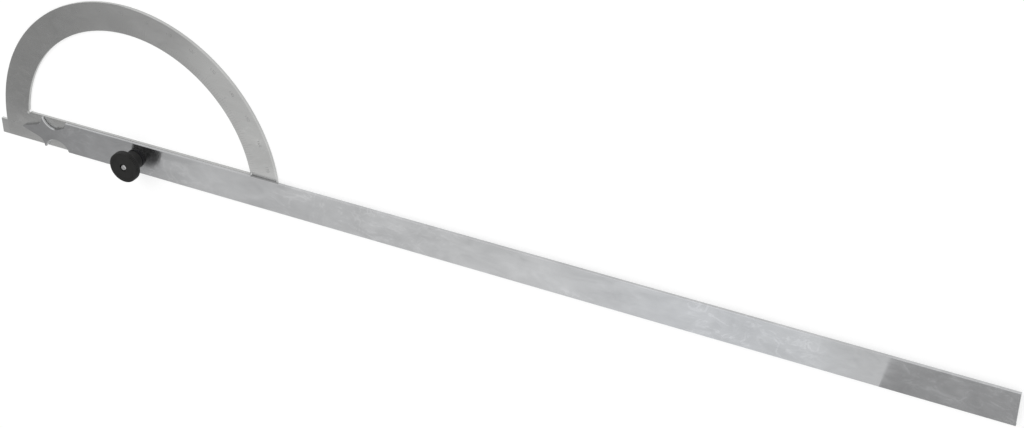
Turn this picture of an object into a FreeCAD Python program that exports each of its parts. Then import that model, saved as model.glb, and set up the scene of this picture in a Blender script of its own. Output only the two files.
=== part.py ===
import FreeCAD, Part
import math
import os

from FreeCAD import Vector

# Open-arc bevel protractor: a D-shaped degree plate, a long straight blade that turns on a stud at
# the centre of the arc, and a black hand knob that clamps it. Millimetres, +Z out of the face.
# The origin is on the pivot axis, on the back face of the plate. +X runs along the base bar towards
# the long end of the blade and +Y points at the top of the arc.

# Degree plate
PLATE_THICKNESS = 3.0
ARC_OUTER_RADIUS = 150.0
ARC_INNER_RADIUS = 123.0
BAR_WIDTH = 30.0               # base bar and blade share one width, both centred on the pivot
LEDGE_LENGTH = 7.0             # lower half of the base bar, past each end of the arc
CORNER_RELIEF_RADIUS = 1.5     # drilled at each inside corner of the opening
EDGE_BREAK = 0.3               # chamfer on every long edge

# Blade, from the pivot outwards
BLADE_THICKNESS = 3.0
BLADE_REACH = 800.0
POINTER_REACH = 129.0
POINTER_TIP_WIDTH = 0.8
POINTER_LENGTH = 23.6          # tip to barbs
POINTER_FLARE_RADIUS = 9.5     # the straight flanks turn outwards to the barbs on this radius
NOTCH_RADIUS = 13.5            # round notches that set the pointer off from the blade
NOTCH_EDGE_BREAK = 0.7         # the notches are deburred more heavily than the long edges
NOTCH_NECK = 11.4              # metal left between the two notches
NOTCH_CENTRE = 91.2            # from the pivot

# Clamp, along the pivot axis
SPACER_THICKNESS = 0.3
SPACER_RADIUS = 13.0
STUD_RADIUS = 5.0              # shoulder that carries the blade
STUD_HEAD_RADIUS = 7.0
STUD_HEAD_HEIGHT = 2.0
SHOULDER_SHORTFALL = 0.1       # shoulder ends just under the blade's face, so that the clamp bites
KEY_RADIUS = 4.0
KEY_FLATS = 6.5
KEY_TOP_GAP = 0.2              # keyed stem ends this far under the knob
THREAD_RADIUS = 3.0            # M6, pitch 1 mm
THREAD_RELIEF_RADIUS = 2.3
THREAD_RELIEF_LENGTH = 1.2
STUD_TIP_CHAMFER = 0.9
STUD_TIP_RECESS = 0.5          # tip lies this far under the face of the knob
RUNNING_CLEARANCE = 0.05       # radial
KEY_CLEARANCE = 0.1

CLAMP_WASHER_RADIUS = 9.0
CLAMP_WASHER_THICKNESS = 1.5
SPRING_OUTER_RADIUS = 8.0
SPRING_INNER_RADIUS = 4.2
SPRING_THICKNESS = 0.6
SPRING_HEIGHT = 0.8            # coned height as clamped

# Knob
KNOB_RADIUS = 14.6
KNOB_HEAD_HEIGHT = 6.8
KNOB_TOTAL_HEIGHT = 17.2
KNOB_RIM_CHAMFER = 0.6
KNOB_UNDER_CHAMFER = 1.0
KNOB_DISH_RADIUS = 11.5
KNOB_DISH_DEPTH = 0.4
HUB_BASE_RADIUS = 8.8
HUB_NECK_RADIUS = 8.2
HUB_FILLET = 2.0
GRIP_TEETH = 54
GRIP_DEPTH = 0.55
GRIP_LAND = 0.12               # how far the sharp crests are cut back to narrow lands
KNOB_BORE_RADIUS = 3.5
INSERT_RADIUS = 5.0
INSERT_GROOVE_RADIUS = 4.3
INSERT_GROOVE_LENGTH = 3.0
INSERT_LENGTH = 12.0

# Heights of the stack, worked out from the back face of the plate
BLADE_BACK = PLATE_THICKNESS + SPACER_THICKNESS
BLADE_FACE = BLADE_BACK + BLADE_THICKNESS
CLAMP_WASHER_TOP = BLADE_FACE + CLAMP_WASHER_THICKNESS
KNOB_BASE = CLAMP_WASHER_TOP + SPRING_HEIGHT
KNOB_FACE = KNOB_BASE + KNOB_TOTAL_HEIGHT
KNOB_HEAD_BACK = KNOB_FACE - KNOB_HEAD_HEIGHT
SHOULDER_TOP = BLADE_FACE - SHOULDER_SHORTFALL
KEY_TOP = KNOB_BASE - KEY_TOP_GAP
STUD_TIP = KNOB_FACE - STUD_TIP_RECESS
HALF_WIDTH = BAR_WIDTH / 2.0


def line(start, end):
    return Part.makeLine(Vector(start[0], start[1], 0), Vector(end[0], end[1], 0))


def arc(start, middle, end):
    points = [Vector(p[0], p[1], 0) for p in (start, middle, end)]
    return Part.Arc(*points).toShape()


def plate_from(edges, base_height, thickness):
    """Flat piece: the closed outline, raised from base_height by thickness."""
    face = Part.Face(Part.Wire(edges))
    solid = face.extrude(Vector(0, 0, thickness))
    solid.translate(Vector(0, 0, base_height))
    return solid


def turned(profile):
    """Solid of revolution about the pivot axis from (radius, height) points."""
    points = [Vector(radius, 0, height) for radius, height in profile]
    face = Part.Face(Part.makePolygon(points + points[:1]))
    return face.revolve(Vector(0, 0, 0), Vector(0, 0, 1), 360)


def face_edges(solid):
    """Every edge that lies in the piece's front or back face."""
    low = solid.BoundBox.ZMin
    high = solid.BoundBox.ZMax
    flat = [edge for edge in solid.Edges if edge.BoundBox.ZLength < 1e-6]
    return [edge for edge in flat if min(edge.BoundBox.ZMin - low, high - edge.BoundBox.ZMin) < 1e-6]


def plate_outline():
    """Base bar with a half-height ledge at each end, and the semicircle that stands on it."""
    end = ARC_OUTER_RADIUS + LEDGE_LENGTH
    radius = ARC_OUTER_RADIUS
    return [
        line((-end, -HALF_WIDTH), (end, -HALF_WIDTH)),
        line((end, -HALF_WIDTH), (end, 0)),
        line((end, 0), (radius, 0)),
        arc((radius, 0), (0, radius), (-radius, 0)),
        line((-radius, 0), (-end, 0)),
        line((-end, 0), (-end, -HALF_WIDTH)),
    ]


def opening_outline(corner_x):
    """The D that is cut out between the arc and the base bar."""
    left = (-corner_x, HALF_WIDTH)
    right = (corner_x, HALF_WIDTH)
    return [line(left, right), arc(right, (0, ARC_INNER_RADIUS), left)]


def degree_plate():
    """One flat steel plate with the D opening, its corner reliefs and the countersunk stud hole."""
    plate = plate_from(plate_outline(), 0, PLATE_THICKNESS)
    corner_x = math.sqrt(ARC_INNER_RADIUS ** 2 - HALF_WIDTH ** 2)
    opening = plate_from(opening_outline(corner_x), 0, PLATE_THICKNESS)
    for side in (-1, 1):
        centre = Vector(side * corner_x, HALF_WIDTH, 0)
        opening = opening.fuse(Part.makeCylinder(CORNER_RELIEF_RADIUS, PLATE_THICKNESS, centre))
    plate = plate.cut(opening).removeSplitter()
    plate = plate.makeChamfer(EDGE_BREAK, face_edges(plate))
    return plate.cut(turned(stud_seat_profile()))


def pointer_flank(side):
    """One flank from the tip: where its straight part ends, the middle of its flare, the barb."""
    tip_half = POINTER_TIP_WIDTH / 2
    run = POINTER_LENGTH - POINTER_FLARE_RADIUS
    rise = HALF_WIDTH - tip_half
    reach = math.hypot(run, rise)
    slope = math.atan2(rise, run) - math.asin(POINTER_FLARE_RADIUS / reach)
    straight = math.sqrt(reach ** 2 - POINTER_FLARE_RADIUS ** 2)
    bend = (slope + math.pi / 2) / 2
    tip_x = -POINTER_REACH
    centre_x = tip_x + run
    tip = (tip_x, side * tip_half)
    bend_start = (tip_x + straight * math.cos(slope), side * (tip_half + straight * math.sin(slope)))
    bend_middle = (
        centre_x + POINTER_FLARE_RADIUS * math.sin(bend),
        side * (HALF_WIDTH - POINTER_FLARE_RADIUS * math.cos(bend)),
    )
    barb = (tip_x + POINTER_LENGTH, side * HALF_WIDTH)
    return tip, bend_start, bend_middle, barb


def notch_arc(side):
    """Round notch behind one barb: where it enters the blade's edge, its bottom, where it leaves."""
    centre_y = NOTCH_NECK / 2 + NOTCH_RADIUS
    half_mouth = math.sqrt(NOTCH_RADIUS ** 2 - (centre_y - HALF_WIDTH) ** 2)
    near_tip = (-NOTCH_CENTRE - half_mouth, side * HALF_WIDTH)
    bottom = (-NOTCH_CENTRE, side * NOTCH_NECK / 2)
    near_pivot = (-NOTCH_CENTRE + half_mouth, side * HALF_WIDTH)
    return near_tip, bottom, near_pivot


def blade_outline():
    """Arrow-shaped pointer, two round notches, then a parallel strip to the square far end."""
    upper_tip, upper_bend, upper_flare, upper_barb = pointer_flank(1)
    lower_tip, lower_bend, lower_flare, lower_barb = pointer_flank(-1)
    upper_in, upper_bottom, upper_out = notch_arc(1)
    lower_in, lower_bottom, lower_out = notch_arc(-1)
    upper_end = (BLADE_REACH, HALF_WIDTH)
    lower_end = (BLADE_REACH, -HALF_WIDTH)
    return [
        line(upper_tip, upper_bend),
        arc(upper_bend, upper_flare, upper_barb),
        line(upper_barb, upper_in),
        arc(upper_in, upper_bottom, upper_out),
        line(upper_out, upper_end),
        line(upper_end, lower_end),
        line(lower_end, lower_out),
        arc(lower_out, lower_bottom, lower_in),
        line(lower_in, lower_barb),
        arc(lower_barb, lower_flare, lower_bend),
        line(lower_bend, lower_tip),
        line(lower_tip, upper_tip),
    ]


def notch_cutters(size):
    """Two cones that break both rims of the blade's two notches by size."""
    centre_y = NOTCH_NECK / 2 + NOTCH_RADIUS
    cones = []
    for side in (-1, 1):
        for rim_height, direction in ((BLADE_FACE, -1), (BLADE_BACK, 1)):
            base = Vector(-NOTCH_CENTRE, side * centre_y, rim_height)
            axis = Vector(0, 0, direction)
            cones.append(Part.makeCone(NOTCH_RADIUS + size, NOTCH_RADIUS, size, base, axis))
    return cones


def blade():
    """Long straight blade with a plain bore that turns on the stud's shoulder."""
    strip = plate_from(blade_outline(), BLADE_BACK, BLADE_THICKNESS)
    strip = strip.makeChamfer(EDGE_BREAK, face_edges(strip))
    strip = strip.cut(notch_cutters(NOTCH_EDGE_BREAK))
    bore_radius = STUD_RADIUS + RUNNING_CLEARANCE
    return strip.cut(Part.makeCylinder(bore_radius, BLADE_THICKNESS, Vector(0, 0, BLADE_BACK)))


def stud_seat_profile():
    """Countersunk head and shank as far as the plate's front face, shared by stud and plate."""
    return [
        (0, 0),
        (STUD_HEAD_RADIUS, 0),
        (STUD_RADIUS, STUD_HEAD_HEIGHT),
        (STUD_RADIUS, PLATE_THICKNESS),
        (0, PLATE_THICKNESS),
    ]


def pivot_stud():
    """Flush-headed shoulder stud: bearing shoulder, keyed stem with two flats, M6 end."""
    relief_top = KEY_TOP + THREAD_RELIEF_LENGTH
    stem = turned([
        (0, 0),
        (STUD_HEAD_RADIUS, 0),
        (STUD_RADIUS, STUD_HEAD_HEIGHT),
        (STUD_RADIUS, SHOULDER_TOP),
        (KEY_RADIUS, SHOULDER_TOP),
        (KEY_RADIUS, KEY_TOP),
        (THREAD_RELIEF_RADIUS, KEY_TOP),
        (THREAD_RELIEF_RADIUS, relief_top),
        (THREAD_RADIUS, relief_top + THREAD_RADIUS - THREAD_RELIEF_RADIUS),
        (THREAD_RADIUS, STUD_TIP - STUD_TIP_CHAMFER),
        (THREAD_RADIUS - STUD_TIP_CHAMFER, STUD_TIP),
        (0, STUD_TIP),
    ])
    return stem.cut(beyond_flats(KEY_FLATS / 2, SHOULDER_TOP, KEY_TOP - SHOULDER_TOP))


def beyond_flats(half_flats, base, height):
    """The two blocks that lie outside a pair of flats facing +Y and -Y."""
    reach = CLAMP_WASHER_RADIUS
    upper = Part.makeBox(2 * reach, reach, height, Vector(-reach, half_flats, base))
    lower = Part.makeBox(2 * reach, reach, height, Vector(-reach, -half_flats - reach, base))
    return upper.fuse(lower)


def spacer_washer():
    """Thin washer that keeps the blade off the plate's graduated face."""
    inner = STUD_RADIUS + RUNNING_CLEARANCE
    return turned([
        (inner, PLATE_THICKNESS),
        (SPACER_RADIUS, PLATE_THICKNESS),
        (SPACER_RADIUS, BLADE_BACK),
        (inner, BLADE_BACK),
    ])


def clamp_washer():
    """Keyed washer: its two flats stop the knob from dragging the blade round as it tightens."""
    disc = turned([
        (0, BLADE_FACE),
        (CLAMP_WASHER_RADIUS, BLADE_FACE),
        (CLAMP_WASHER_RADIUS, CLAMP_WASHER_TOP - EDGE_BREAK),
        (CLAMP_WASHER_RADIUS - EDGE_BREAK, CLAMP_WASHER_TOP),
        (0, CLAMP_WASHER_TOP),
    ])
    hole = Part.makeCylinder(KEY_RADIUS + KEY_CLEARANCE, CLAMP_WASHER_THICKNESS, Vector(0, 0, BLADE_FACE))
    half_flats = KEY_FLATS / 2 + KEY_CLEARANCE
    return disc.cut(hole.cut(beyond_flats(half_flats, BLADE_FACE, CLAMP_WASHER_THICKNESS)))


def disc_spring():
    """Coned spring washer between the clamp washer and the knob."""
    rise = SPRING_HEIGHT - SPRING_THICKNESS
    return turned([
        (SPRING_INNER_RADIUS, CLAMP_WASHER_TOP + rise),
        (SPRING_OUTER_RADIUS, CLAMP_WASHER_TOP),
        (SPRING_OUTER_RADIUS, CLAMP_WASHER_TOP + SPRING_THICKNESS),
        (SPRING_INNER_RADIUS, KNOB_BASE),
    ])


def insert_profile():
    """Outside of the moulded-in bush, with the groove that the plastic grips, bottom to top."""
    groove_base = KNOB_BASE + (INSERT_LENGTH - INSERT_GROOVE_LENGTH) / 2
    groove_top = groove_base + INSERT_GROOVE_LENGTH
    return [
        (INSERT_RADIUS, KNOB_BASE),
        (INSERT_RADIUS, groove_base),
        (INSERT_GROOVE_RADIUS, groove_base),
        (INSERT_GROOVE_RADIUS, groove_top),
        (INSERT_RADIUS, groove_top),
        (INSERT_RADIUS, KNOB_BASE + INSERT_LENGTH),
    ]


def knob_insert():
    """Steel bush in the knob, tapped M6; the thread is left as a plain bore."""
    bore = THREAD_RADIUS + RUNNING_CLEARANCE
    return turned([(bore, KNOB_BASE)] + insert_profile() + [(bore, KNOB_BASE + INSERT_LENGTH)])


def knob_body():
    """Black moulded knob: tapered hub, round head with a serrated rim, chamfered and dished face."""
    steps = 5
    fillet = []
    for step in range(steps + 1):
        angle = math.pi / 2 * step / steps
        radius = HUB_NECK_RADIUS + HUB_FILLET * (1 - math.cos(angle))
        height = KNOB_HEAD_BACK - HUB_FILLET * (1 - math.sin(angle))
        fillet.append((radius, height))
    outside = [
        (HUB_BASE_RADIUS, KNOB_BASE),
        *fillet,
        (KNOB_RADIUS - KNOB_UNDER_CHAMFER, KNOB_HEAD_BACK),
        (KNOB_RADIUS, KNOB_HEAD_BACK + KNOB_UNDER_CHAMFER),
        (KNOB_RADIUS, KNOB_FACE - KNOB_RIM_CHAMFER),
        (KNOB_RADIUS - KNOB_RIM_CHAMFER, KNOB_FACE),
        (KNOB_DISH_RADIUS, KNOB_FACE),
        (KNOB_DISH_RADIUS - KNOB_DISH_DEPTH, KNOB_FACE - KNOB_DISH_DEPTH),
        (KNOB_BORE_RADIUS, KNOB_FACE - KNOB_DISH_DEPTH),
    ]
    inside = [(KNOB_BORE_RADIUS, KNOB_BASE + INSERT_LENGTH)] + insert_profile()[::-1]
    return turned(outside + inside).cut(grip_grooves())


def grip_grooves():
    """Ring of straight V-grooves round the rim of the knob, as one cutter outside a toothed outline."""
    outline = []
    for index in range(2 * GRIP_TEETH):
        angle = math.pi * index / GRIP_TEETH
        radius = KNOB_RADIUS + GRIP_LAND if index % 2 else KNOB_RADIUS - GRIP_DEPTH
        outline.append(Vector(radius * math.cos(angle), radius * math.sin(angle), KNOB_HEAD_BACK))
    toothed = Part.Face(Part.makePolygon(outline + outline[:1])).extrude(Vector(0, 0, KNOB_HEAD_HEIGHT))
    reach = KNOB_RADIUS + 2 * GRIP_LAND
    return Part.makeCylinder(reach, KNOB_HEAD_HEIGHT, Vector(0, 0, KNOB_HEAD_BACK)).cut(toothed)


PIECES = {
    "degree_plate": degree_plate,
    "pivot_stud": pivot_stud,
    "spacer_washer": spacer_washer,
    "blade": blade,
    "clamp_washer": clamp_washer,
    "disc_spring": disc_spring,
    "knob_insert": knob_insert,
    "knob_body": knob_body,
}

os.makedirs("parts", exist_ok=True)
for node, make in PIECES.items():
    solid = make()
    solid.exportStep(os.path.join("parts", node + ".step"))
    print(node, "valid" if solid.isValid() else "INVALID", len(solid.Solids), round(solid.Volume, 1))
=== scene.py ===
import math

import bpy
from mathutils import Matrix, Vector


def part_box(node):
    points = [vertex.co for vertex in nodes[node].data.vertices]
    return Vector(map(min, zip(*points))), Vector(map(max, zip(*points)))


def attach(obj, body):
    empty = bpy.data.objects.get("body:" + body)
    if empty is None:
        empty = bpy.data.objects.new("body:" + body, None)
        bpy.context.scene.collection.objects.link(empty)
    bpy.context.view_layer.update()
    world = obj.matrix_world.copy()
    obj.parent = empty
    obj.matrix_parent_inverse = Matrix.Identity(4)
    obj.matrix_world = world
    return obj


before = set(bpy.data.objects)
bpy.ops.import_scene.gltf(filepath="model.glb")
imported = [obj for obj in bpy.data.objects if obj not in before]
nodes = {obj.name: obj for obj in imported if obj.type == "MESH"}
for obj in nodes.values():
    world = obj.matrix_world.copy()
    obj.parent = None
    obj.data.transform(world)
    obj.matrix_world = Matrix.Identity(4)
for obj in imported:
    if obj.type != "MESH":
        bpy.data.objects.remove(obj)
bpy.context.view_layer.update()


# ---- Camera ----
# The tool is seen from its front right, from above its arc, as if it stood on its long straight
# edge: +Y is up in the view. The tiny roll is that of a hand-levelled tripod.
camera_place = Vector((0.96631, 0.860805, 1.158789))
camera_aim = Vector((0.38031, 0.05039, 0.0065))
camera_roll = math.radians(0.2013)

camera_data = bpy.data.cameras.new("camera")
camera_data.sensor_width = 36.0
camera_data.lens = 66.287
camera_data.clip_start = 0.05
camera_data.clip_end = 60.0
camera = bpy.data.objects.new("camera", camera_data)
forward = (camera_aim - camera_place).normalized()
level_right = forward.cross(Vector((0, 1, 0))).normalized()
level_up = level_right.cross(forward)
right = level_right * math.cos(camera_roll) + level_up * math.sin(camera_roll)
up = right.cross(forward)
turn = Matrix((right, up, -forward)).transposed()
camera.matrix_world = Matrix.Translation(camera_place) @ turn.to_4x4()
bpy.context.scene.collection.objects.link(camera)
bpy.context.scene.camera = camera


# ---- Studio ----
# A pale sweep of floor under the tool, a dome that is white to the camera and falls off to grey on
# one side for the metal, one large soft lamp over the top of the arc, and a grey card that shades
# the far end of the blade.
def shader_node(tree, kind, settings=None, **inputs):
    """Adds a shader node; settings are its own properties, inputs are values or sockets to link."""
    made = tree.nodes.new(kind)
    for key, value in (settings or {}).items():
        setattr(made, key, value)
    for key, value in inputs.items():
        socket = made.inputs[int(key[1:]) if key[1:].isdigit() else key.replace("_", " ")]
        if isinstance(value, bpy.types.NodeSocket):
            tree.links.new(value, socket)
        else:
            socket.default_value = value
    return made


def ramp_stops(made, stops):
    """Sets a colour ramp's stops from (place, grey or colour) pairs."""
    elements = made.color_ramp.elements
    while len(elements) < len(stops):
        elements.new(0.5)
    for element, (place, shade) in zip(elements, stops):
        element.position = place
        element.color = (shade, shade, shade, 1) if isinstance(shade, float) else (*shade, 1)


bpy.context.scene.view_settings.view_transform = "Standard"
world = bpy.data.worlds.new("studio")
bpy.context.scene.world = world
world.use_nodes = True
tree = world.node_tree
tree.nodes.clear()
direction = shader_node(tree, "ShaderNodeTexCoord").outputs["Generated"]
direction = shader_node(tree, "ShaderNodeSeparateXYZ", i0=direction).outputs
graded_from = -0.65            # the dome's shade changes between these two sideways directions
graded_to = -0.15
sideways = shader_node(tree, "ShaderNodeMapRange", i0=direction["X"], i1=graded_from,
                       i2=graded_to).outputs[0]
side_shade = shader_node(tree, "ShaderNodeValToRGB", i0=sideways)
ramp_stops(side_shade, [
    (0.0, 0.46), (0.075, 0.47), (0.1, 0.37), (0.13, 0.6), (0.15, 0.67), (0.17, 0.47), (0.19, 0.6),
    (0.205, 0.75), (0.225, 0.94), (0.26, 0.97), (0.3, 0.98), (0.36, 1.01), (0.5, 1.12), (0.57, 1.2),
    (0.75, (1.24, 1.26, 1.29)), (0.85, (1.2, 1.22, 1.24)), (0.9, (1.09, 1.09, 1.09)),
])
upward = shader_node(tree, "ShaderNodeMapRange", i0=direction["Y"], i1=-1.0, i2=1.0).outputs[0]
up_shade = shader_node(tree, "ShaderNodeValToRGB", i0=upward)
ramp_stops(up_shade, [(0.12, 0.56), (0.25, 0.77), (0.42, 0.88), (0.75, 0.88), (0.95, 0.8)])
shade = shader_node(tree, "ShaderNodeVectorMath", {"operation": "MULTIPLY"},
                    i0=side_shade.outputs[0], i1=up_shade.outputs[0]).outputs[0]
lit_dome = shader_node(tree, "ShaderNodeBackground", i0=shade, i1=1.0).outputs[0]
white = shader_node(tree, "ShaderNodeBackground", i0=(1, 1, 1, 1), i1=1.0).outputs[0]
seen = shader_node(tree, "ShaderNodeLightPath").outputs["Is Camera Ray"]
backdrop = shader_node(tree, "ShaderNodeMixShader", i0=seen, i1=lit_dome, i2=white).outputs[0]
shader_node(tree, "ShaderNodeOutputWorld", i0=backdrop)


def flat_card(name, corners, material):
    """A single flat face, as stage: part of the studio and not of the tool."""
    mesh = bpy.data.meshes.new(name)
    mesh.from_pydata(corners, [], [range(len(corners))])
    mesh.materials.append(material)
    card = bpy.data.objects.new(name, mesh)
    bpy.context.scene.collection.objects.link(card)
    return card


floor_reach = 12.0
floor_drop = 0.0002
floor_glow = 0.62
paper_grey = 0.45
floor_material = bpy.data.materials.new("pale_floor")
floor_material.use_nodes = True
tree = floor_material.node_tree
tree.nodes.clear()
paper = shader_node(tree, "ShaderNodeBsdfDiffuse", i0=(paper_grey, paper_grey, paper_grey, 1)).outputs[0]
glow = shader_node(tree, "ShaderNodeEmission", i0=(1, 1, 1, 1), i1=floor_glow).outputs[0]
bright_paper = shader_node(tree, "ShaderNodeAddShader", i0=paper, i1=glow).outputs[0]
rays = shader_node(tree, "ShaderNodeLightPath")
straight = shader_node(tree, "ShaderNodeMath", {"operation": "MAXIMUM"},
                       i0=rays.outputs["Is Camera Ray"], i1=rays.outputs["Is Glossy Ray"]).outputs[0]
paper_seen = shader_node(tree, "ShaderNodeMixShader", i0=straight, i1=paper, i2=bright_paper).outputs[0]
shader_node(tree, "ShaderNodeOutputMaterial", i0=paper_seen)
floor_corners = [(floor_reach * x, floor_reach * y, -floor_drop)
                 for x, y in ((-1, -1), (1, -1), (1, 1), (-1, 1))]
flat_card("floor", floor_corners, floor_material)

lamp_place = Vector((-0.5, 1.6, 2.0))
lamp_aim = Vector((0.1, 0.05, 0))
lamp_data = bpy.data.lights.new("soft_lamp", "AREA")
lamp_data.shape = "DISK"
lamp_data.size = 1.6
lamp_data.energy = 14.0
lamp = bpy.data.objects.new("soft_lamp", lamp_data)
lamp.location = lamp_place
lamp.rotation_euler = (lamp_aim - lamp_place).to_track_quat("-Z", "Y").to_euler()
lamp.visible_glossy = False
bpy.context.scene.collection.objects.link(lamp)

blade_low, blade_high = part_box("blade")
card_gap = 0.0015
card_start = 0.6949            # the shaded stretch of the blade starts here
card_slant = 0.075             # its border leans this much as it leaves the face
card_rise = 0.2
card_length = 0.5
card_end = card_start + card_length
card_top_start = card_start - card_slant * card_rise
card_shade = 0.43
card_material = bpy.data.materials.new("grey_card")
card_material.use_nodes = True
tree = card_material.node_tree
tree.nodes.clear()
card_grey = shader_node(tree, "ShaderNodeEmission", i0=(card_shade, card_shade, card_shade, 1),
                        i1=1.0).outputs[0]
shader_node(tree, "ShaderNodeOutputMaterial", i0=card_grey)
card_y = blade_low.y - card_gap
grey_card = flat_card("grey_card", [
    (card_start, card_y, 0.0), (card_end, card_y, 0.0),
    (card_end, card_y, card_rise), (card_top_start, card_y, card_rise),
], card_material)
grey_card.visible_camera = False
grey_card.visible_diffuse = False
grey_card.visible_shadow = False
grey_card.visible_transmission = False


# ---- Degree plate ----
# One flat D of tool steel, 3 mm thick: arc and base bar are cut from a single plate. Its faces are
# ground along the base bar and left satin, so light spreads across the grind and not along it.
def maths(tree, operation, a, b=0.0, c=0.0):
    """One Math node's result."""
    return shader_node(tree, "ShaderNodeMath", {"operation": operation}, i0=a, i1=b, i2=c).outputs[0]


def noise(tree, coordinates, scale, detail=3.0, roughness=0.55, distortion=0.0):
    """Noise at so many features a metre along x, y and z."""
    at = shader_node(tree, "ShaderNodeVectorMath", {"operation": "MULTIPLY"}, i0=coordinates, i1=scale)
    return shader_node(tree, "ShaderNodeTexNoise", i0=at.outputs[0], Scale=1.0, Detail=detail,
                       Roughness=roughness, Distortion=distortion).outputs[0]


def spread(tree, value, low, high, to_low, to_high, interpolation="LINEAR"):
    """Map Range, clamped."""
    return shader_node(tree, "ShaderNodeMapRange", {"interpolation_type": interpolation}, i0=value,
                       i1=low, i2=high, i3=to_low, i4=to_high).outputs[0]


steel_rough = 0.2
cloud_strength = 0.09          # uneven grinding
smear_strength = 0.05          # dried oil and fingerprints
wipe_strength = 0.13           # pale strokes left by a cloth
edge_shine = 0.07
rubbed_width = 0.0009
tilted_face_painted_shade = 0.74               # side faces are sawn and not ground; their darker colour is painted shade


def satin_steel(name, tone, edge_distance, seed=0.0, wiped=1.0, lift=None):
    """Steel ground along x. edge_distance(tree, coordinates) is metres in from the rubbed edges,
    wiped is how much the hand marks show, and lift(tree, coordinates) brightens a part of it."""
    material = bpy.data.materials.new(name)
    material.use_nodes = True
    tree = material.node_tree
    tree.nodes.clear()
    coordinates = shader_node(tree, "ShaderNodeTexCoord").outputs["Object"]
    place = shader_node(tree, "ShaderNodeVectorMath", {"operation": "ADD"}, i0=coordinates,
                        i1=(seed, seed, 0)).outputs[0]
    lines = noise(tree, place, (12, 2400, 600), roughness=0.6)
    clouds = noise(tree, place, (22, 44, 44), detail=2.0, distortion=0.8)
    smears = noise(tree, place, (60, 110, 110), detail=5.0, roughness=0.6, distortion=1.2)
    strokes = noise(tree, place, (30, 48, 48), detail=2.0, distortion=2.4)
    where = noise(tree, place, (9, 16, 16), detail=1.0)
    stroke = spread(tree, maths(tree, "ABSOLUTE", maths(tree, "SUBTRACT", strokes, 0.52)),
                    0.0, 0.07, 1.0, 0.0, "SMOOTHSTEP")
    stroke = maths(tree, "MULTIPLY", stroke, spread(tree, where, 0.45, 0.58, 0.0, 1.0, "SMOOTHSTEP"))
    stroke = maths(tree, "MULTIPLY", stroke, spread(tree, smears, 0.4, 0.6, 0.15, 1.0, "SMOOTHSTEP"))
    rubbed = spread(tree, edge_distance(tree, coordinates), 0.0, rubbed_width, 1.0, 0.0, "SMOOTHSTEP")
    cloudy = cloud_strength * wiped
    smeared = smear_strength * wiped
    tint = maths(tree, "MULTIPLY", spread(tree, clouds, 0.3, 0.7, 1.0 - cloudy, 1.0 + cloudy),
                 spread(tree, smears, 0.25, 0.75, 1.0 - smeared, 1.0 + smeared))
    tint = maths(tree, "MULTIPLY", tint, spread(tree, lines, 0.25, 0.75, 0.98, 1.02))
    tint = maths(tree, "MULTIPLY_ADD", stroke, wipe_strength * wiped, tint)
    tint = maths(tree, "MULTIPLY_ADD", rubbed, edge_shine, tint)
    if lift:
        tint = maths(tree, "MULTIPLY", tint, lift(tree, coordinates))
    # Painted shade: faces that tilt away from the flat get a darker colour, by which way they face.
    facing = shader_node(tree, "ShaderNodeNewGeometry").outputs["Normal"]
    level = maths(tree, "ABSOLUTE", shader_node(tree, "ShaderNodeSeparateXYZ", i0=facing).outputs["Z"])
    tint = maths(tree, "MULTIPLY", tint, spread(tree, level, 0.3, 0.9, tilted_face_painted_shade, 1.0))
    colour = shader_node(tree, "ShaderNodeVectorMath", {"operation": "SCALE"},
                         i0=tone, Scale=tint).outputs[0]
    dull = spread(tree, smears, 0.3, 0.7, steel_rough - 0.03, steel_rough + 0.03)
    dull = maths(tree, "MULTIPLY_ADD", rubbed, -0.08, dull)
    ridges = shader_node(tree, "ShaderNodeBump", Strength=0.1, Distance=0.00001, Height=lines).outputs[0]
    across = shader_node(tree, "ShaderNodeVectorMath", {"operation": "CROSS_PRODUCT"}, i0=facing,
                         i1=(1, 0.03, 0.05)).outputs[0]
    steel = shader_node(tree, "ShaderNodeBsdfPrincipled", Base_Color=colour, Metallic=1.0,
                        Roughness=dull, Anisotropic=1.0, Tangent=across, Normal=ridges).outputs[0]
    shader_node(tree, "ShaderNodeOutputMaterial", i0=steel)
    return material


def finish_node(name, material):
    """Gives a carried-over piece its finish."""
    nodes[name].data.materials.clear()
    nodes[name].data.materials.append(material)


plate_low, plate_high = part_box("degree_plate")
arc_outer = plate_high.y
arc_band = 0.027
arc_inner = arc_outer - arc_band
bar_top = -plate_low.y


def flat_radius(tree, coordinates):
    """Metres from the pivot axis."""
    flat = shader_node(tree, "ShaderNodeVectorMath", {"operation": "MULTIPLY"}, i0=coordinates,
                       i1=(1, 1, 0)).outputs[0]
    return shader_node(tree, "ShaderNodeVectorMath", {"operation": "LENGTH"}, i0=flat).outputs["Value"]


def plate_edge_distance(tree, coordinates):
    """Metres in from the arc's outer and inner edges."""
    radius = flat_radius(tree, coordinates)
    inner = maths(tree, "ABSOLUTE", maths(tree, "SUBTRACT", radius, arc_inner))
    return maths(tree, "MINIMUM", maths(tree, "SUBTRACT", arc_outer, radius), inner)


def bar_lift(tree, coordinates):
    """The base bar is made brighter towards its lower edge."""
    height = shader_node(tree, "ShaderNodeSeparateXYZ", i0=coordinates).outputs["Y"]
    return spread(tree, height, -bar_top, 2.0 * bar_top, 1.4, 1.0)


finish_node("degree_plate", satin_steel("satin_plate_steel", (0.60, 0.602, 0.595), plate_edge_distance,
                                        wiped=0.6, lift=bar_lift))


# ---- Degree scale ----
# Fine lines for every degree and numbers for every tenth, etched grey into the plate's face along
# the inside of the arc. They count from the pointer's place with the blade closed.
etch_proud = 0.00001
scale_start = arc_inner + 0.001
degree_line = 0.0055
five_degree_line = 0.0080
ten_degree_line = 0.0105
line_width = 0.00013
number_radius = arc_inner + 0.0195
number_height = 0.0030
stroke_thinning = 0.00006

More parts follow.
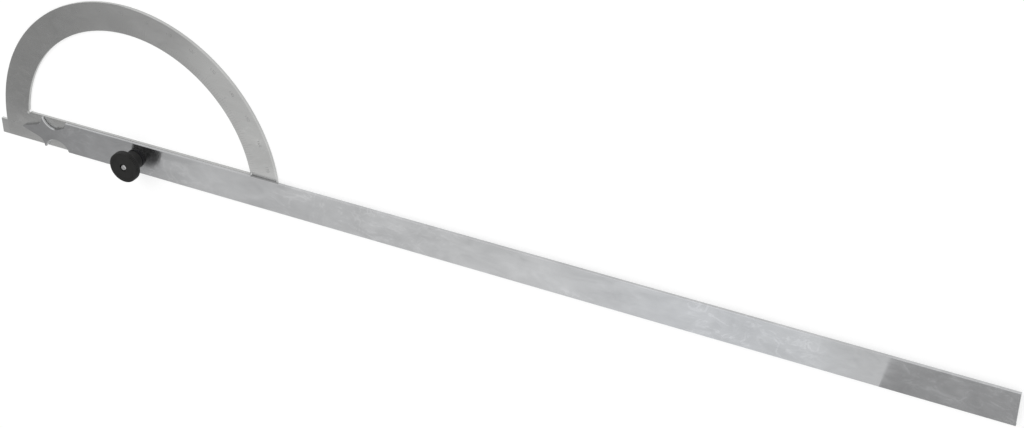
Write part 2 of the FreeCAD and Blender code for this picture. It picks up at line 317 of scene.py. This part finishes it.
etch_material = bpy.data.materials.new("etched_dark")
etch_material.use_nodes = True
tree = etch_material.node_tree
tree.nodes.clear()
coordinates = shader_node(tree, "ShaderNodeTexCoord").outputs["Object"]
etch_shade = spread(tree, noise(tree, coordinates, (900, 900, 900)), 0.3, 0.7, 0.19, 0.27)
etch_colour = shader_node(tree, "ShaderNodeCombineColor", i0=etch_shade, i1=etch_shade,
                          i2=etch_shade).outputs[0]
etched = shader_node(tree, "ShaderNodeBsdfPrincipled", Base_Color=etch_colour, Roughness=0.6).outputs[0]
shader_node(tree, "ShaderNodeOutputMaterial", i0=etched)


def piece_from(evaluated_from, name):
    """Plain mesh object from an object's evaluated shape; the source object is removed."""
    graph = bpy.context.evaluated_depsgraph_get()
    mesh = bpy.data.meshes.new_from_object(evaluated_from.evaluated_get(graph), depsgraph=graph)
    source = evaluated_from.data
    bpy.data.objects.remove(evaluated_from)
    (bpy.data.meshes if isinstance(source, bpy.types.Mesh) else bpy.data.curves).remove(source)
    mesh.name = name
    piece = bpy.data.objects.new(name, mesh)
    bpy.context.scene.collection.objects.link(piece)
    return piece


def tick_tree():
    """Geometry Nodes: one thin bar for each degree, longer at each fifth and tenth."""
    group = bpy.data.node_groups.new("degree_lines", "GeometryNodeTree")
    group.interface.new_socket("Geometry", in_out="OUTPUT", socket_type="NodeSocketGeometry")
    sizes = ("Start radius", "Degree length", "Five length", "Ten length", "Width", "Height", "Level")
    for label in sizes:
        group.interface.new_socket(label, in_out="INPUT", socket_type="NodeSocketFloat")
    group.interface.new_socket("Lines", in_out="INPUT", socket_type="NodeSocketInt")
    given = group.nodes.new("NodeGroupInput").outputs
    index = group.nodes.new("GeometryNodeInputIndex").outputs[0]

    angle = maths(group, "MULTIPLY", index, math.radians(1))
    fifth = maths(group, "COMPARE", maths(group, "MODULO", index, 5.0), 0.0, 0.1)
    tenth = maths(group, "COMPARE", maths(group, "MODULO", index, 10.0), 0.0, 0.1)
    longer = maths(group, "SUBTRACT", given["Five length"], given["Degree length"])
    longest = maths(group, "SUBTRACT", given["Ten length"], given["Five length"])
    length = maths(group, "MULTIPLY_ADD", fifth, longer, given["Degree length"])
    length = maths(group, "MULTIPLY_ADD", tenth, longest, length)
    middle = maths(group, "MULTIPLY_ADD", length, 0.5, given["Start radius"])
    spot = shader_node(group, "ShaderNodeCombineXYZ", i2=given["Level"],
                       i0=maths(group, "MULTIPLY", middle, maths(group, "COSINE", angle)),
                       i1=maths(group, "MULTIPLY", middle, maths(group, "SINE", angle))).outputs[0]
    points = shader_node(group, "GeometryNodePoints", Count=given["Lines"], Position=spot).outputs[0]
    bar = shader_node(group, "GeometryNodeMeshCube", Size=(1, 1, 1)).outputs[0]
    facing = shader_node(group, "ShaderNodeCombineXYZ", i2=angle).outputs[0]
    size = shader_node(group, "ShaderNodeCombineXYZ", i0=length, i1=given["Width"],
                       i2=given["Height"]).outputs[0]
    turned = shader_node(group, "FunctionNodeEulerToRotation", i0=facing).outputs[0]
    bars = shader_node(group, "GeometryNodeInstanceOnPoints", Points=points, Instance=bar, Rotation=turned,
                       Scale=size).outputs[0]
    solid = shader_node(group, "GeometryNodeRealizeInstances", i0=bars).outputs[0]
    inked = shader_node(group, "GeometryNodeSetMaterial", Geometry=solid,
                        Material=etch_material).outputs[0]
    shader_node(group, "NodeGroupOutput", i0=inked)
    return group


def run_tree(group, name, values):
    """Runs a Geometry Nodes tree with named inputs and returns its shape as a plain piece."""
    holder = bpy.data.objects.new(name, bpy.data.meshes.new(name))
    bpy.context.scene.collection.objects.link(holder)
    modifier = holder.modifiers.new("nodes", "NODES")
    modifier.node_group = group
    for item in group.interface.items_tree:
        if item.in_out == "INPUT":
            modifier[item.identifier] = values[item.name]
    return piece_from(holder, name)


degree_lines = run_tree(tick_tree(), "degree_lines_temp", {
    "Start radius": scale_start, "Degree length": degree_line, "Five length": five_degree_line,
    "Ten length": ten_degree_line, "Width": line_width, "Height": 2 * etch_proud, "Level": plate_high.z,
    "Lines": 181,
})
degree_lines.name = "degree_lines"
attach(degree_lines, "plate")


cap_share = 0.7                # height of a figure as a share of the lettering's size


def number_piece(degrees):
    """One etched number, its foot towards the pivot, placed by the angle that it stands for."""
    text = bpy.data.curves.new(f"number_{degrees}", "FONT")
    text.body = str(degrees)
    text.size = number_height / cap_share
    text.align_x = "CENTER"
    text.align_y = "CENTER"
    text.resolution_u = 3
    text.offset = -stroke_thinning
    text.extrude = etch_proud
    holder = bpy.data.objects.new(f"number_{degrees}_temp", text)
    bpy.context.scene.collection.objects.link(holder)
    piece = piece_from(holder, f"number_{degrees}")
    angle = math.pi - math.radians(degrees)
    centre = Vector((math.cos(angle), math.sin(angle), 0)) * number_radius + Vector((0, 0, plate_high.z))
    piece.data.transform(Matrix.Translation(centre) @ Matrix.Rotation(angle - math.pi / 2, 4, "Z"))
    piece.data.materials.clear()
    piece.data.materials.append(etch_material)
    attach(piece, "plate")


for degrees in range(0, 181, 10):
    number_piece(degrees)


# ---- Pivot stud ----
# Turned steel stud, pressed into the plate from behind with its countersunk head ground flush. It
# carries the blade on its shoulder and ends in the M6 thread that shows in the knob's centre.
def finish_turned(name, material_name, tone, seed):
    """Steel for a round piece, rubbed bright along its rim."""
    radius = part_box(name)[1].x

    def rim_distance(tree, coordinates):
        return maths(tree, "SUBTRACT", radius, flat_radius(tree, coordinates))

    finish_node(name, satin_steel(material_name, tone, rim_distance, seed=seed))


finish_turned("pivot_stud", "turned_stud_steel", (0.6, 0.6, 0.6), seed=0.3)


# ---- Spacer washer ----
# Thin punched steel washer between plate and blade, so that the blade can't scrape the
# etched scale. It lies loose on the stud's shoulder.
finish_turned("spacer_washer", "punched_washer_steel", (0.5, 0.5, 0.51), seed=0.5)


# ---- Blade ----
# Long straight steel strip, 30 mm wide and 3 mm thick, ground lengthwise. One end is cut to an
# arrow with two round notches behind it; that arrow is the pointer.
def blade_edge_distance(tree, coordinates):
    """Metres in from the blade's two long edges."""
    across = shader_node(tree, "ShaderNodeSeparateXYZ", i0=coordinates).outputs["Y"]
    return maths(tree, "SUBTRACT", blade_high.y, maths(tree, "ABSOLUTE", across))


finish_node("blade", satin_steel("satin_blade_steel", (0.60, 0.605, 0.613), blade_edge_distance, seed=1.7))


# ---- Clamp washer and disc spring ----
# A keyed, blackened steel washer and a blued, slightly coned spring washer between blade and knob.
# The flats in the washer sit on the stud, so that turning the knob doesn't drag the blade round.
finish_turned("clamp_washer", "blackened_washer_steel", (0.025, 0.025, 0.027), seed=0.8)
finish_turned("disc_spring", "blued_spring_steel", (0.03, 0.032, 0.042), seed=0.9)


# ---- Knob ----
# Black moulded hand knob with a serrated rim and a dished face, on a steel bush that is moulded in
# and tapped M6. It is the clamp's nut.
knob_material = bpy.data.materials.new("black_moulding")
knob_material.use_nodes = True
tree = knob_material.node_tree
tree.nodes.clear()
coordinates = shader_node(tree, "ShaderNodeTexCoord").outputs["Object"]
grit = noise(tree, coordinates, (2500, 2500, 2500), roughness=0.5)
blush = noise(tree, coordinates, (160, 160, 160), detail=4.0, roughness=0.5)
knob_colour = shader_node(tree, "ShaderNodeValToRGB", i0=blush)
ramp_stops(knob_colour, [(0.3, (0.008, 0.008, 0.0075)), (0.7, (0.014, 0.014, 0.013))])
knob_rough = spread(tree, blush, 0.3, 0.7, 0.38, 0.52)
pores = shader_node(tree, "ShaderNodeBump", Strength=0.25, Distance=0.00004, Height=grit).outputs[0]
moulding = shader_node(tree, "ShaderNodeBsdfPrincipled", Base_Color=knob_colour.outputs[0],
                       Roughness=knob_rough, Normal=pores)
moulding.inputs["Specular IOR Level"].default_value = 0.3
shader_node(tree, "ShaderNodeOutputMaterial", i0=moulding.outputs[0])
finish_node("knob_body", knob_material)
finish_turned("knob_insert", "turned_bush_steel", (0.58, 0.58, 0.57), seed=1.1)
